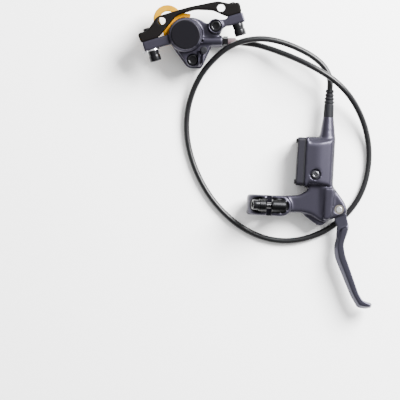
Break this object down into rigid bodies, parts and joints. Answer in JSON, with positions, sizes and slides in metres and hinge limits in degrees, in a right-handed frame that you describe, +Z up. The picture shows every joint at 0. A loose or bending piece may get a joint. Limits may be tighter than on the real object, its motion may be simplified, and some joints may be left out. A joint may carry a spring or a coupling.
{
  "type": "hydraulic disc brake",
  "caption": "Hydraulic bicycle disc brake: bar lever with side reservoir, hose in one loose loop, and opposed piston caliper on its adapter with a pad spacer.",
  "frame": {"origin": "middle of the brake as it lies, hose apart, on the table plane", "axes": "+Z up from the table, +Y from the lever towards the caliper, the lever's bar axis 3 degrees off +Y"},
  "size_m": [0.1969, 0.2576, 0.0374],
  "materials": {
    "body_black": "satin anodised, nearly black with a violet tint",
    "adapter_black": "matte black",
    "black_steel": "black oxide, glossy",
    "bright_steel": "bright",
    "zinc_steel": "zinc plated",
    "brass_plain": "plain",
    "piston_resin": "moulded phenolic resin",
    "lining": "pressed friction compound",
    "rubber_black": "plain",
    "hose_skin": "smooth extruded polyamide",
    "sleeve_brown": "plain",
    "spacer_yellow": "moulded, slightly translucent",
    "lid_resin": "moulded",
    "bush_resin": "moulded bearing resin"
  },
  "bodies": {
    "brake": {"caliper_outer_half": "body_black", "caliper_inner_half": "body_black", "outer_piston_seal": "rubber_black", "inner_piston_seal": "rubber_black", "pad_spring": "bright_steel", "pad_pin": "bright_steel", "caliper_body_bolts": "black_steel", "crossover_o_ring": "rubber_black", "bleed_nipple": "black_steel", "bleed_nipple_cap": "rubber_black", "mount_adapter": "adapter_black", "post_mount_bolts": "black_steel", "domed_washers": "black_steel", "dished_washers": "black_steel", "bolt_lock_clip": "bright_steel", "pad_spacer": "spacer_yellow", "lever_body": "body_black", "reservoir_lid": "lid_resin", "lid_screws": "black_steel", "diaphragm": "rubber_black", "bleed_screw": "bright_steel", "bleed_screw_o_ring": "rubber_black", "clamp_bolt": "black_steel", "clamp_washer": "black_steel", "pivot_pin": "bright_steel", "pivot_bushes": "bush_resin", "pivot_clip": "bright_steel", "piston_circlip": "bright_steel", "dust_boot": "rubber_black", "return_spring": "bright_steel", "reach_screw": "black_steel", "hose_inserts": "brass_plain", "hose_olives": "brass_plain", "caliper_hose_nut": "black_steel", "caliper_hose_sleeve": "sleeve_brown", "lever_hose_nut": "black_steel", "hose_boot": "rubber_black", "hose": "hose_skin"},
    "lever": {"lever_blade": "body_black"},
    "master_piston_group": {"master_piston": "zinc_steel", "primary_cup": "rubber_black", "secondary_cup": "rubber_black", "pushrod": "zinc_steel"},
    "outer_pad_group": {"outer_piston": "piston_resin", "outer_pad_plate": "zinc_steel", "outer_pad_lining": "lining"},
    "inner_pad_group": {"inner_piston": "piston_resin", "inner_pad_plate": "zinc_steel", "inner_pad_lining": "lining"}
  },
  "joints": [
    {"name": "lever_pivot", "type": "hinge", "parent": "brake", "child": "lever", "pos_m": [0.0689, -0.0451, 0.013], "axis": [0, 0, -1], "range_deg": [0, 24], "stiffness_Nm_per_rad": 0.2, "springref_deg": -17.19},
    {"name": "master_piston_slide", "type": "slide", "parent": "brake", "child": "master_piston_group", "axis": [0.0523, 0.9986, 0], "range_m": [0, 0.0055]},
    {"name": "outer_pad_slide", "type": "slide", "parent": "brake", "child": "outer_pad_group", "axis": [0, 0, -1], "range_m": [0, 0.00036]},
    {"name": "inner_pad_slide", "type": "slide", "parent": "brake", "child": "inner_pad_group", "axis": [0, 0, 1], "range_m": [0, 0.00036]}
  ],
  "couplings": [
    {"joint": "master_piston_slide", "follows": "lever_pivot", "m_per_rad": 0.013086},
    {"joint": "outer_pad_slide", "follows": "lever_pivot", "m_per_rad": 0.0008356},
    {"joint": "inner_pad_slide", "follows": "lever_pivot", "m_per_rad": 0.0008356}
  ]
}
